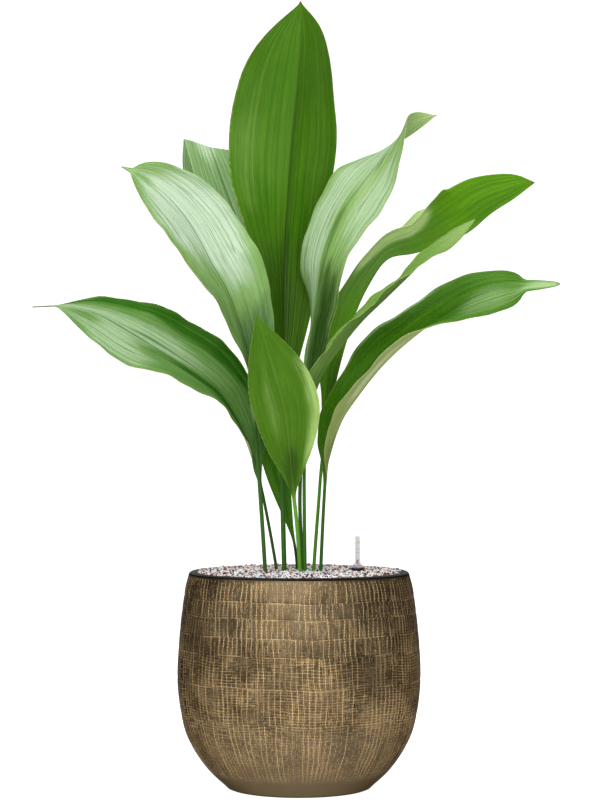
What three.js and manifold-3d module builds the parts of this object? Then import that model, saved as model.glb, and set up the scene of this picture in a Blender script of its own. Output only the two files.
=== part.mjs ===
// A cast iron plant with ten leaves in a round bronze-finished pot.
// Millimetres, +Z up, +Y away from the front; the origin is the centre of the pot's foot.
import * as THREE from 'three';
import { mergeVertices } from 'three/addons/utils/BufferGeometryUtils.js';
import Module from 'manifold-3d';

const wasm = await Module();
wasm.setup();

// Driving dimensions
const gap = 0.3;                    // between pieces that touch
const potHeight = 250;
const potBellyRadius = 141;
const potFootRadius = 80;
const potRimRadius = 128;
const potWall = 10;
const potFloor = 10;
const potSides = 64;
const lipRadius = 5;                // the lip is a half round of this radius
const soilHeight = 249.2;           // mean height of the mineral substrate
const grainRelief = 1.6;            // height of its bumps
const stemHoleDepth = 36;
const stemClearance = 1.6;          // between a stem and the edge of its hole
const marginThickness = 0.7;        // of a blade at its margins
const ribThickness = 1.3;           // of a blade along its rib
const gaugeX = 68;
const gaugeY = 10;
const tubeRadius = 6;
const tubeBore = 4.8;
const collarRadius = 8;
const collarHeight = 2.2;
const collarTop = soilHeight + 3.8;
const tabLength = 4.2;              // the finger tab under the collar's front right
const tabWidth = 4;
const tabDrop = 3;
const tabOffset = [5.5, -2.6];      // its middle from the gauge's axis
const inletWidth = 2.4;             // the slots that let the water into the tube
const inletHeight = 8;
const headRadius = 3.2;
const headWall = 0.9;
const headFootHeight = 7;           // of the cone under the clear head
const headTop = 290;
const floatRadius = 4.2;
const floatLength = 48;
const rodRadius = 1;
const pointerRadius = 1.5;
const pointerLength = 5;
const pointerRest = 257.5;          // underside of the red tip with the float at the bottom

const plant = new THREE.Group();

function addPiece(name, geometry, color, roughness, metalness, extra = {}) {
  const material = new THREE.MeshStandardMaterial({ color, roughness, metalness, ...extra });
  const mesh = new THREE.Mesh(geometry, material);
  mesh.name = name;
  plant.add(mesh);
  return mesh;
}

function toSolid(geometry) {
  geometry.deleteAttribute('normal');
  geometry.deleteAttribute('uv');
  const merged = mergeVertices(geometry, 1e-4);
  const vertProperties = new Float32Array(merged.attributes.position.array);
  const triVerts = new Uint32Array(merged.index.array);
  return new wasm.Manifold(new wasm.Mesh({ numProp: 3, vertProperties, triVerts }));
}

function toGeometry(solid) {
  const mesh = solid.getMesh();
  const geometry = new THREE.BufferGeometry();
  geometry.setAttribute('position', new THREE.BufferAttribute(new Float32Array(mesh.vertProperties), 3));
  geometry.setIndex(new THREE.BufferAttribute(new Uint32Array(mesh.triVerts), 1));
  geometry.computeVertexNormals();
  return geometry;
}

// A closed profile of [radius, height] points turned round the Z axis.
function turned(profile, sides) {
  const points = profile.map(([radius, height]) => new THREE.Vector2(radius, height));
  return new THREE.LatheGeometry(points, sides).rotateX(Math.PI / 2);
}

// A solid of revolution centred on an upright line at x, y.
function turnedAt(profile, sides, x, y) {
  return turned(profile, sides).translate(x, y, 0);
}

function curvePoints(points, count) {
  const curve = new THREE.SplineCurve(points.map(([radius, height]) => new THREE.Vector2(radius, height)));
  return curve.getPoints(count).map((point) => [point.x, point.y]);
}

// The pot: a bellied outside, a half-round lip and an inside that follows the wall.
const outsideCurve = [
  [potFootRadius + 6, 4], [106, 23], [124.5, 50], [135, 78],
  [potBellyRadius, 128], [137.7, 184], [132.6, 226], [potRimRadius, potHeight - lipRadius],
];

function lipPoints() {
  const points = [];
  for (let step = 1; step < 8; step += 1) {
    const angle = (Math.PI * step) / 8;
    const radius = potRimRadius - lipRadius + lipRadius * Math.cos(angle);
    points.push([radius, potHeight - lipRadius + lipRadius * Math.sin(angle)]);
  }
  return points;
}

function potProfile() {
  const outside = curvePoints(outsideCurve, 17);
  const inside = outsideCurve.slice(1, -1).reverse().map(([radius, height]) => [radius - potWall, height]);
  const mouth = [potRimRadius - potWall, potHeight - lipRadius];
  return [
    [0, 0], [potFootRadius, 0], ...outside, ...lipPoints(), mouth, ...inside, [84, potFloor], [0, potFloor],
  ];
}

function innerRadiusAt(height) {
  const mouth = [potRimRadius - potWall, potHeight];
  const wall = [[84, potFloor], ...outsideCurve.slice(1).map(([radius, z]) => [radius - potWall, z]), mouth];
  const above = wall.findIndex(([, z]) => z >= height);
  const [lowRadius, low] = wall[Math.max(above - 1, 0)];
  const [highRadius, high] = wall[Math.max(above, 1)];
  return THREE.MathUtils.mapLinear(height, low, high, lowRadius, highRadius);
}

function buildPot() {
  addPiece('pot', turned(potProfile(), potSides), 0x6b5636, 0.42, 0.7);
}

// Each leaf is one grown piece, stem and blade. Its stations run from the stem's foot in the
// substrate to the tip: [x, y, z, turn, fold]. Turn is the blade's roll about its own length in
// degrees, 0 with its upper face to the front; fold is how far each half rises from flat.
// bladeFrom is the share of the whole length where the blade begins, halfWidths its widest left
// and right halves, swell the powers of their rise from the base and fall to the tip, wave the
// height and the count of the margin's ripples. A leaf with a beak ends in a narrow point: beak is
// its share of the blade's length and its half width.
const leaves = [
  {
    name: 'leaf_tall', color: 0x3f7a20, stem: 2.9, bladeFrom: 0.28,
    halfWidths: [75, 62], swell: [1.15, 0.57], wave: [2, 3], beak: [0.025, 4],
    stations: [
      [-17, 4, 250, 30, 20], [-19, 8, 330, 34, 24], [-20, 16, 402, 38, 28], [-19, 26, 464, 42, 30],
      [-18, 38, 556, 42, 25], [-16, 50, 637, 38, 6], [-12, 56, 696, 27, -9], [-8, 58, 752, 18, -15],
      [-2, 54, 812, 22, -20], [2, 48, 868, 22, -18], [2, 44, 917, 10, -6],
    ],
  },
  {
    name: 'leaf_left_low', color: 0x35702c, stem: 1.9, bladeFrom: 0.27,
    halfWidths: [54, 54], swell: [1.2, 0.95], wave: [2, 5], beak: [0.07, 1],
    stations: [
      [-26, 10, 250, 46, 24], [-36, 8, 308, 48, 28], [-47, 4, 360, 52, 32], [-62, -2, 405, 54, 36],
      [-86, -10, 448, 56, 32], [-116, -20, 475, 57, 27], [-152, -30, 499, 57, 20], [-192, -40, 524, 49, 6],
      [-230, -48, 545, 50, -10], [-264, -54, 554, 56, -24], [-302, -58, 553, 60, -24],
    ],
  },
  {
    name: 'leaf_left_high', color: 0x55863f, stem: 2.4, bladeFrom: 0.37,
    halfWidths: [54, 55], swell: [1.2, 0.7], wave: [2, 4], beak: [0.03, 3],
    stations: [
      [-39, -10, 251, 30, 25], [-46, -16, 360, 36, 32], [-51, -22, 425, 40, 38], [-56, -28, 486, 42, 42],
      [-70, -34, 541, 40, 35], [-84, -38, 576, 42, 32], [-100, -42, 604, 45, 26], [-118, -44, 638, 44, 18],
      [-136, -45, 664, 45, 14], [-156, -46, 685, 41, 13], [-179, -47, 702, 34, 16], [-202, -47, 713, 44, 18],
    ],
  },
  {
    name: 'leaf_back_left', color: 0x52724a, stem: 2, bladeFrom: 0.4,
    halfWidths: [36, 40], swell: [1.2, 0.7], wave: [2, 3],
    stations: [
      [-16, 24, 249, 0, 15], [-24, 44, 388, 0, 20], [-32, 70, 516, 2, 20], [-46, 92, 588, 6, 16],
      [-68, 112, 648, 12, 12], [-90, 130, 706, 20, 8], [-103, 146, 742, 28, 6], [-110, 166, 758, 32, 6],
      [-116, 190, 754, 32, 6], [-124, 210, 736, 30, 4], [-132, 224, 702, 28, 6],
    ],
  },
  {
    name: 'leaf_right_high', color: 0x6f9a56, stem: 2.2, bladeFrom: 0.3,
    halfWidths: [49, 47], swell: [1.6, 1.08], wave: [2, 4],
    stations: [
      [5, 10, 249, -24, 10], [1, 6, 330, -26, 10], [5, 0, 424, -40, -10], [11, -4, 488, -50, -22],
      [17, -6, 540, -62, -20], [24, -4, 582, -62, -6], [30, 0, 612, -52, 1], [42, 4, 646, -45, -1],
      [58, 12, 678, -40, -5], [83, 24, 712, -38, 1], [112, 40, 750, -74, 0], [134, 54, 774, -120, 4],
      [163, 62, 785, -155, 8],
    ],
  },
  {
    name: 'leaf_right_fold', color: 0x3f7d16, stem: 2.2, bladeFrom: 0.28,
    halfWidths: [57, 62], swell: [1.2, 0.62], wave: [2, 4],
    stations: [
      [17, -4, 251, -90, 22], [22, 4, 320, -92, 26], [28, 14, 390, -93, 29], [42, 28, 470, -97, 46],
      [64, 42, 545, -97, 30], [84, 48, 588, -92, 16], [105, 54, 615, -82, 20], [136, 58, 622, -76, 36],
      [168, 62, 632, -78, 54], [200, 66, 647, -94, 56], [228, 70, 670, -108, 56], [254, 74, 687, -114, 50],
      [280, 78, 707, -116, 46],
    ],
  },
  {
    name: 'leaf_right_edge', color: 0x6a9a44, stem: 2.2, bladeFrom: 0.38,
    halfWidths: [30, 30], swell: [1, 0.9], wave: [2, 5],
    stations: [
      [7, -12, 251, -90, 24], [6, -20, 372, -92, 28], [10, -30, 422, -94, 34], [17, -38, 455, -97, 38],
      [29, -46, 482, -98, 34], [48, -54, 509, -95, 26], [71, -60, 537, -93, 19], [97, -66, 562, -93, 14],
      [123, -72, 587, -93, 12], [145, -78, 609, -82, 6], [167, -82, 626, -66, 0], [199, -86, 651, -62, 0],
    ],
  },
  {
    name: 'leaf_right_low', color: 0x3b7424, stem: 2.2, bladeFrom: 0.26,
    halfWidths: [41, 44], swell: [0.75, 0.45], wave: [2, 4], beak: [0.1, 8],
    stations: [
      [25, -8, 251, -75, 26], [30, -12, 355, -75, 36], [35, -16, 388, -74, 43], [48, -22, 424, -73, 43],
      [66, -30, 451, -71, 43], [92, -40, 484, -73, 39], [120, -50, 511, -77, 32], [162, -58, 543, -74, 18],
      [204, -66, 566, -56, 4], [240, -72, 575, -50, -4], [294, -80, 578, -46, 0],
    ],
  },
  {
    name: 'leaf_front', color: 0x5a9a2a, stem: 2.2, bladeFrom: 0.35,
    halfWidths: [37, 40], swell: [1.45, 1.3], wave: [1.5, 2],
    stations: [
      [1, -20, 251, 10, 20], [-2, -27, 300, 10, 26], [-6, -34, 338, 10, 30], [-9, -42, 368, 10, 24],
      [-12, -52, 399, 10, 14], [-16, -60, 436, 10, 8], [-24, -68, 466, 10, 6], [-36, -76, 504, 8, 6],
      [-49, -84, 545, 6, 6],
    ],
  },
  {
    name: 'leaf_young', color: 0x4a8a22, stem: 1.7, bladeFrom: 0.28,
    halfWidths: [14, 15], swell: [1.1, 0.8], wave: [1.5, 2],
    stations: [
      [-2, 26, 249, 0, 20], [-5, 25, 278, 0, 24], [-12, 24, 308, 0, 26], [-19, 24, 336, 0, 24],
      [-28, 26, 370, 0, 20], [-37, 28, 402, 0, 14], [-45, 30, 434, 0, 10],
    ],
  },
];

const acrossCount = 7;              // points across a leaf, from margin to margin
const rowsPerStation = 2.3;
const flattenShare = 0.12;          // where the round stem has become a flat blade
const ribFadeShare = 0.35;          // where the stem's thickness has run out along the rib
const stemSides = 12;

// The foot of the stem goes straight down into its hole.
function leafStations(leaf) {
  const [x, y, z, turn, fold] = leaf.stations[0];
  const foot = soilHeight - stemHoleDepth + gap * 2;
  const middle = (foot + z) / 2;
  return [[x, y, foot, turn, fold], [x, y, middle, turn, fold], ...leaf.stations];
}

// How wide the blade is at a share of its length before the beak, from 0 to 1 at its widest.
function bladeSwell(leaf, share) {
  if (share <= 0 || share >= 1) {
    return 0;
  }
  const [rise, fall] = leaf.swell;
  const widest = rise / (rise + fall);
  return (share / widest) ** rise * ((1 - share) / (1 - widest)) ** fall;
}

// The half width that the beak adds, which runs out at the tip.
function beakWidth(leaf, share) {
  const [length, halfWidth] = leaf.beak ?? [0, 0];
  const left = length > 0 ? Math.min((1 - share) / length, 1) : 0;
  return halfWidth * Math.sqrt(Math.max(left, 0)) * THREE.MathUtils.smoothstep(share, 0.5, 1 - length);
}

// Rows of points across the leaf, from its left margin to its right, with the thickness of each.
function leafRows(leaf) {
  const stations = leafStations(leaf);
  const path = new THREE.CatmullRomCurve3(
    stations.map(([x, y, z]) => new THREE.Vector3(x, y, z)), false, 'catmullrom', 0.5);
  const pose = new THREE.CatmullRomCurve3(
    stations.map(([, , , turn, fold]) => new THREE.Vector3(turn, fold, 0)), false, 'catmullrom', 0.5);
  path.arcLengthDivisions = 600;
  const rowCount = Math.round(stations.length * rowsPerStation);
  const across = new THREE.Vector3(1, 0, 0);
  const rows = [];
  for (let row = 0; row <= rowCount; row += 1) {
    const along = row / rowCount;
    const share = (along - leaf.bladeFrom) / (1 - leaf.bladeFrom);
    const station = path.getUtoTmapping(along);
    const centre = path.getPoint(station);
    const tangent = path.getTangent(station);
    const turn = THREE.MathUtils.degToRad(pose.getPoint(station).x);
    const fold = THREE.MathUtils.degToRad(pose.getPoint(station).y);
    across.addScaledVector(tangent, -across.dot(tangent)).normalize();
    const side = across.clone().applyAxisAngle(tangent, turn);
    const upper = side.clone().cross(tangent);
    const swell = bladeSwell(leaf, share / (1 - (leaf.beak?.[0] ?? 0)));
    const beak = beakWidth(leaf, share);
    const stem = leaf.stem * (1 - 0.8 * Math.max(share, 0));
    const flatness = THREE.MathUtils.smoothstep(share, 0, flattenShare);
    const thinned = THREE.MathUtils.smoothstep(share, 0, ribFadeShare);
    const core = THREE.MathUtils.lerp(leaf.stem * 1.8, ribThickness, thinned);
    const points = [];
    for (let column = 0; column < acrossCount; column += 1) {
      const place = (2 * column) / (acrossCount - 1) - 1;
      const blade = leaf.halfWidths[place > 0 ? 1 : 0] * swell;
      const halfWidth = Math.hypot(stem, blade, beak);
      const ripple = Math.sin(leaf.wave[1] * 2 * Math.PI * share + (place > 0 ? 1.2 : 3.4));
      const ruffle = leaf.wave[0] * place ** 4 * ripple * Math.min(1, blade / 30);
      const rise = halfWidth * Math.abs(place) * Math.sin(fold) * flatness + ruffle;
      const reach = halfWidth * place * THREE.MathUtils.lerp(1, Math.cos(fold), flatness);
      const bulge = (1 - Math.abs(place)) ** THREE.MathUtils.lerp(0.5, 2.2, flatness);
      const point = centre.clone().addScaledVector(side, reach).addScaledVector(upper, rise);
      points.push({ point, thickness: marginThickness + (core - marginThickness) * bulge });
    }
    rows.push(points);
  }
  return rows;
}

function leafGeometry(leaf) {
  const rows = leafRows(leaf);
  const lastRow = rows.length - 1;
  const lastColumn = acrossCount - 1;
  const positions = [];
  const upperIndex = (row, column) => row * acrossCount + column;
  const lowerIndex = (row, column) => rows.length * acrossCount + row * acrossCount + column;
  const normalAt = (row, column) => {
    const along = rows[Math.min(row + 1, lastRow)][column].point.clone();
    along.sub(rows[Math.max(row - 1, 0)][column].point);
    const over = rows[row][Math.min(column + 1, lastColumn)].point.clone();
    over.sub(rows[row][Math.max(column - 1, 0)].point);
    return over.cross(along).normalize();
  };
  for (const face of [1, -1]) {
    rows.forEach((points, row) => points.forEach(({ point, thickness }, column) => {
      const moved = point.clone().addScaledVector(normalAt(row, column), (face * thickness) / 2);
      positions.push(moved.x, moved.y, moved.z);
    }));
  }
  const index = [];
  const quad = (a, b, c, d) => index.push(a, b, c, a, c, d);
  for (let row = 0; row < lastRow; row += 1) {
    for (let column = 0; column < lastColumn; column += 1) {
      const up = [upperIndex(row, column), upperIndex(row, column + 1),
        upperIndex(row + 1, column + 1), upperIndex(row + 1, column)];
      quad(...up);
      const down = [lowerIndex(row, column), lowerIndex(row + 1, column),
        lowerIndex(row + 1, column + 1), lowerIndex(row, column + 1)];
      index.push(down[0], down[2], down[3], down[0], down[1], down[2]);
    }
    quad(upperIndex(row, 0), upperIndex(row + 1, 0), lowerIndex(row + 1, 0), lowerIndex(row, 0));
    quad(upperIndex(row, lastColumn), lowerIndex(row, lastColumn),
      lowerIndex(row + 1, lastColumn), upperIndex(row + 1, lastColumn));
  }
  for (let column = 0; column < lastColumn; column += 1) {
    quad(upperIndex(0, column), lowerIndex(0, column), lowerIndex(0, column + 1), upperIndex(0, column + 1));
    quad(upperIndex(lastRow, column), upperIndex(lastRow, column + 1),
      lowerIndex(lastRow, column + 1), lowerIndex(lastRow, column));
  }
  const geometry = new THREE.BufferGeometry();
  geometry.setAttribute('position', new THREE.Float32BufferAttribute(positions, 3));
  geometry.setIndex(index);
  geometry.computeVertexNormals();
  return geometry;
}

function buildLeaves() {
  for (const leaf of leaves) {
    addPiece(leaf.name, leafGeometry(leaf), leaf.color, 0.5, 0);
  }
}

// The mineral substrate: a bumpy top by a formula, over a body that fills the pot.
function grainHeight(x, y) {
  const coarse = Math.sin(0.47 * x + 1.3 * Math.sin(0.21 * y))
    * Math.sin(0.43 * y + 1.1 * Math.sin(0.26 * x));
  const fine = Math.sin(0.93 * x + 0.61 * y) * Math.sin(0.88 * y - 0.57 * x);
  return soilHeight + grainRelief * (0.6 * coarse + 0.4 * fine);
}

function substrateBody() {
  const topRadius = innerRadiusAt(soilHeight) - gap;
  const rings = 20;
  const sides = 72;
  const heights = [potFloor, ...outsideCurve.slice(1).map(([, z]) => z)];
  const wall = heights.map((z) => [innerRadiusAt(z) - gap, z + (z === potFloor ? gap : 0)]).reverse();
  const positions = [0, 0, grainHeight(0, 0)];
  const index = [];
  const ringStart = (ring) => 1 + ring * sides;
  const addRing = (radius, heightAt) => {
    for (let side = 0; side < sides; side += 1) {
      const angle = (2 * Math.PI * side) / sides;
      const x = radius * Math.cos(angle);
      const y = radius * Math.sin(angle);
      positions.push(x, y, heightAt(x, y));
    }
  };
  for (let ring = 1; ring <= rings; ring += 1) {
    addRing((topRadius * ring) / rings, grainHeight);
  }
  wall.forEach(([radius, z]) => addRing(radius, () => z));
  positions.push(0, 0, potFloor + gap);
  const ringTotal = rings + wall.length;
  const bottom = 1 + ringTotal * sides;
  for (let side = 0; side < sides; side += 1) {
    const next = (side + 1) % sides;
    index.push(0, ringStart(0) + side, ringStart(0) + next);
    for (let ring = 0; ring < ringTotal - 1; ring += 1) {
      const [a, b] = [ringStart(ring) + side, ringStart(ring) + next];
      const [c, d] = [ringStart(ring + 1) + next, ringStart(ring + 1) + side];
      index.push(a, c, b, a, d, c);
    }
    index.push(bottom, ringStart(ringTotal - 1) + next, ringStart(ringTotal - 1) + side);
  }
  const geometry = new THREE.BufferGeometry();
  geometry.setAttribute('position', new THREE.Float32BufferAttribute(positions, 3));
  geometry.setIndex(index);
  return geometry;
}

function roundPlug(radius, low, high, x, y, sides) {
  return toSolid(turnedAt([[0, low], [radius, low], [radius, high], [0, high]], sides, x, y));
}

function buildSubstrate() {
  const above = soilHeight + 10;
  const tubeSides = 24;
  const collarClearance = 1.2;
  const collarRecess = 2.1;
  let solid = toSolid(substrateBody());
  for (const leaf of leaves) {
    const [x, y] = leaf.stations[0];
    const radius = leaf.stem + stemClearance;
    solid = solid.subtract(roundPlug(radius, soilHeight - stemHoleDepth, above, x, y, stemSides));
  }
  solid = solid.subtract(roundPlug(tubeRadius + gap + 0.1, 0, above, gaugeX, gaugeY, tubeSides));
  solid = solid.subtract(roundPlug(
    collarRadius + collarClearance, soilHeight - collarRecess, above, gaugeX, gaugeY, tubeSides));
  addPiece('substrate', toGeometry(solid), 0xcfc3b8, 0.9, 0);
}

// The water-level gauge: a dark tube standing on the pot's floor, a clear head, a float on a rod.
function buildGauge() {
  const sides = 24;
  const slimSides = 16;
  const collarLow = collarTop - collarHeight;
  const foot = potFloor + gap;
  let tube = toSolid(turnedAt([
    [tubeBore, foot], [tubeRadius, foot], [tubeRadius, collarLow - 2], [collarRadius, collarLow],
    [collarRadius, collarTop], [tubeBore, collarTop], [tubeBore, foot],
  ], sides, gaugeX, gaugeY));
  const tabHeight = collarHeight + tabDrop;
  const tab = toSolid(new THREE.BoxGeometry(tabLength, tabWidth, tabHeight).translate(
    gaugeX + tabOffset[0], gaugeY + tabOffset[1], collarTop - tabHeight / 2));
  tube = tube.add(tab.subtract(roundPlug(tubeBore, 0, potHeight + 10, gaugeX, gaugeY, sides)));
  const inlet = new THREE.BoxGeometry(2 * tubeRadius + 2, inletWidth, 2 * inletHeight);
  tube = tube.subtract(toSolid(inlet.translate(gaugeX, gaugeY, foot)));
  addPiece('gauge_tube', toGeometry(tube), 0x2c2430, 0.45, 0);

  const headLow = collarTop + gap;
  const neck = headLow + headFootHeight;
  addPiece('gauge_head', turnedAt([
    [collarRadius - 1.6, headLow], [collarRadius - 0.4, headLow], [collarRadius - 0.8, headLow + 1.2],
    [headRadius, neck], [headRadius, headTop - 0.6], [headRadius - 0.6, headTop], [0, headTop],
    [0, headTop - headWall], [headRadius - headWall, headTop - headWall], [headRadius - headWall, neck],
    [collarRadius - 1.9, headLow + 1], [collarRadius - 1.6, headLow],
  ], sides, gaugeX, gaugeY), 0xdfe3e4, 0.12, 0, { transparent: true, opacity: 0.45 });

  const floatTop = foot + floatLength;
  addPiece('gauge_float', turnedAt([
    [0, foot], [floatRadius - 1, foot], [floatRadius, foot + 1], [floatRadius, floatTop - 1],
    [floatRadius - 1, floatTop], [rodRadius, floatTop], [rodRadius, pointerRest - gap],
    [0, pointerRest - gap],
  ], slimSides, gaugeX, gaugeY), 0xe8e6e0, 0.6, 0);

  const pointerTop = pointerRest + pointerLength;
  addPiece('gauge_pointer', turnedAt([
    [0, pointerRest], [pointerRadius, pointerRest], [pointerRadius, pointerTop - 0.8],
    [pointerRadius - 0.8, pointerTop], [0, pointerTop],
  ], slimSides, gaugeX, gaugeY), 0xb3261a, 0.4, 0);
}

buildPot();
buildSubstrate();
buildLeaves();
buildGauge();

export default plant;
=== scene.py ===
# A cast iron plant with ten leaves in a round bronze-finished pot, dressed around its frame.
import bisect
import math
import random

import bpy
from mathutils import Matrix, Quaternion, Vector, noise


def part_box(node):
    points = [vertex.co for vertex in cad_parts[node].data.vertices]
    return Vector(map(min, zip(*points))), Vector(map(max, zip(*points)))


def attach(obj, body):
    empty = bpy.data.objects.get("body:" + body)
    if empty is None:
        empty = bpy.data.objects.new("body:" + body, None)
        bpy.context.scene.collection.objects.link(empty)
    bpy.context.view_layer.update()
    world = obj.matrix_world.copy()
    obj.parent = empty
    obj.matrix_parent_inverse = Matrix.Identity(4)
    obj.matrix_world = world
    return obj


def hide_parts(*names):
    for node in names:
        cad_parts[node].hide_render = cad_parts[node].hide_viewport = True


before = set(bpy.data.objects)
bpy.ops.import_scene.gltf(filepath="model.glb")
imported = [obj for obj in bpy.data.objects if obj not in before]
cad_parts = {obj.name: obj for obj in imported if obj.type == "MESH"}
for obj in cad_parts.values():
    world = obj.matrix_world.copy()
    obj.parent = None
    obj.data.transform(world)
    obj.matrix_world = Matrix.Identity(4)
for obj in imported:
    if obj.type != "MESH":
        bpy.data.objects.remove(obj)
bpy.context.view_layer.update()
print("frame loaded with", len(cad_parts), "nodes")


# The camera stands level, some way off, at about the height of the plant's middle.
view = {"distance": 2.8, "height": 0.4347, "lens": 108.9, "shift": (0.00125, 0.0141)}

studio = {
    "floorSize": 40,
    "floorColor": (0.72, 0.72, 0.72, 1),
    "floorGlow": 0.7, "floorLight": 0.22,       # what the camera sees of its glow, and what it gives
    "room": {"all": 0.08, "back": 0.22, "over": 0.55, "front": 1.4},
    "backdrop": 1.2,
    "lamps": {      # name: place, what it looks at, width, height, power in watts
        "front": ((-0.25, -3.3, 1.5), (0, 0, 0.4), 1.8, 1.5, 16),
        "top": ((-0.7, -0.7, 2.7), (0, 0, 0.55), 1.8, 1.5, 32),
        "left": ((-2.6, -1.0, 1.7), (0, 0, 0.55), 0.9, 1.5, 8),
    },
}


def srgb(red, green, blue):
    def linear(part):
        part /= 255
        return part / 12.92 if part < 0.04 else ((part + 0.055) / 1.055) ** 2.4
    return (linear(red), linear(green), linear(blue), 1.0)


def smooth(value, low, high):
    part = min(max((value - low) / (high - low), 0), 1)
    return part * part * (3 - 2 * part)


def mixed(low, high, part):
    return low + (high - low) * part


def deselect():
    bpy.ops.object.select_all(action="DESELECT")


def turnFacesOut():     # from edit mode, back to object mode
    bpy.ops.mesh.select_all(action="SELECT")
    bpy.ops.mesh.normals_make_consistent(inside=False)
    bpy.ops.object.mode_set(mode="OBJECT")


def buildStudio():
    deselect()
    bpy.ops.object.camera_add(location=(0, -view["distance"], view["height"]), rotation=(math.pi / 2, 0, 0))
    camera = bpy.context.object
    camera.data.lens = view["lens"]
    camera.data.shift_x, camera.data.shift_y = view["shift"]
    bpy.context.scene.camera = camera
    bpy.context.scene.view_settings.view_transform = "Standard"
    for name, (place, target, width, height, power) in studio["lamps"].items():
        aim = (Vector(target) - Vector(place)).to_track_quat("-Z", "Y").to_euler()
        bpy.ops.object.light_add(type="AREA", location=place, rotation=aim)
        lamp = bpy.context.object
        lamp.name = name + "_light"
        lamp.visible_camera = False
        lamp.data.shape = "RECTANGLE"
        lamp.data.size = width
        lamp.data.size_y = height
        lamp.data.energy = power
    bpy.context.scene.world = paleRoom()
    bpy.ops.mesh.primitive_plane_add(size=studio["floorSize"])
    floor = bpy.context.object
    floor.name = "floor"
    material, shader, wire = startMaterial("pale_floor", {"Roughness": 0.8, "Emission Strength": 1})
    shader.inputs["Base Color"].default_value = studio["floorColor"]
    seen = wire.add("ShaderNodeLightPath", output="Is Camera Ray")
    plug(shader, {"Emission Color": seen * studio["floorGlow"] + studio["floorLight"]})
    floor.data.materials.append(material)
    print("studio ready")


# White behind the plant. It lights the plant from the front, the back and above, not from the sides.
def paleRoom():
    world = bpy.data.worlds.new("pale_room")
    world.use_nodes = True
    wire = Wire(world.node_tree)
    facing = wire.add("ShaderNodeTexCoord", output="Generated")
    away, up = [facing.add("ShaderNodeSeparateXYZ", inputs={0: facing}, output=axis) for axis in ("Y", "Z")]
    back, front = away.step(0.2, 0.8), (-away).step(0.5, 0.92)
    over, raised = up.step(0.3, 0.9), up.step(-0.1, 0.6) + 0.5
    room = studio["room"]
    light = back * room["back"] + over * room["over"] + front * raised * room["front"] + room["all"]
    seen = wire.add("ShaderNodeLightPath", output="Is Camera Ray")
    sky = world.node_tree.nodes["Background"]
    sky.inputs["Color"].default_value = (1, 1, 1, 1)
    plug(sky, {"Strength": light * (1 - seen) + seen * studio["backdrop"]})
    return world


class Wire:     # one socket of a material's tree; the usual operators add Math nodes
    def __init__(self, tree, socket=None):
        self.tree = tree
        self.socket = socket

    def add(self, kind, settings=None, inputs=None, output=0):
        made = self.tree.nodes.new(kind)
        for key, value in (settings or {}).items():
            if key == "stops":
                self.setStops(made.color_ramp, value)
            else:
                setattr(made, key, value)
        for key, value in (inputs or {}).items():
            if isinstance(value, Wire):
                self.tree.links.new(value.socket, made.inputs[key])
            else:
                made.inputs[key].default_value = value
        return Wire(self.tree, made.outputs[output])

    def setStops(self, ramp, stops):
        while len(ramp.elements) < len(stops):
            ramp.elements.new(0.5)
        for element, (place, color) in zip(ramp.elements, stops):
            element.position = place
            element.color = color

    def math(self, operation, *values):
        return self.add("ShaderNodeMath", {"operation": operation}, dict(enumerate(values)))

    def __add__(self, other):
        return self.math("ADD", self, other)

    def __radd__(self, other):
        return self.math("ADD", other, self)

    def __sub__(self, other):
        return self.math("SUBTRACT", self, other)

    def __rsub__(self, other):
        return self.math("SUBTRACT", other, self)

    def __mul__(self, other):
        return self.math("MULTIPLY", self, other)

    def __rmul__(self, other):
        return self.math("MULTIPLY", other, self)

    def __truediv__(self, other):
        return self.math("DIVIDE", self, other)

    def __neg__(self):
        return self.math("MULTIPLY", self, -1.0)

    def __abs__(self):
        return self.math("ABSOLUTE", self)

    def above(self, edge):
        return self.math("GREATER_THAN", self, edge)

    def step(self, low, high):
        settings = {"interpolation_type": "SMOOTHSTEP"}
        return self.add("ShaderNodeMapRange", settings, {0: self, 1: low, 2: high, 3: 0.0, 4: 1.0})

    def within(self, low, full, fading, high):
        return self.step(low, full) * (1 - self.step(fading, high))

    def wave(self):
        return self.math("SINE", self)

    def nearest(self):
        return self.math("FLOOR", self + 0.5)

    def most(self, other):
        return self.math("MAXIMUM", self, other)

    def least(self, other):
        return self.math("MINIMUM", self, other)


def startMaterial(name, constants=None):
    material = bpy.data.materials.new(name)
    material.use_nodes = True
    tree = material.node_tree
    shader = tree.nodes["Principled BSDF"]
    for key, value in (constants or {}).items():
        shader.inputs[key].default_value = value
    return material, shader, Wire(tree)


def plug(shader, links):
    for key, wire in links.items():
        wire.tree.links.new(wire.socket, shader.inputs[key])


def attribute(wire, name):
    return wire.add("ShaderNodeAttribute", {"attribute_name": name}, output="Fac")


def vector(x, y, z):
    return x.add("ShaderNodeCombineXYZ", inputs={0: x, 1: y, 2: z})


def grainNoise(place, scale=1.0, detail=3.0, rough=0.55):
    inputs = {"Vector": place, "Scale": scale, "Detail": detail, "Roughness": rough}
    return place.add("ShaderNodeTexNoise", inputs=inputs)


def mixColor(part, low, high):
    settings = {"data_type": "RGBA", "blend_type": "MIX"}
    return part.add("ShaderNodeMix", settings, {0: part, 6: low, 7: high}, output=2)


# A line that is full at its middle and fades to its edges. Off is how far a point lies from it.
def softLine(off, halfWidth, core=0.3):
    return 1 - (abs(off) / halfWidth).step(core, 1.0)


def bump(height, distance, strength=1.0):
    return height.add("ShaderNodeBump", inputs={"Height": height, "Distance": distance, "Strength": strength})


# Leaves

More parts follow.
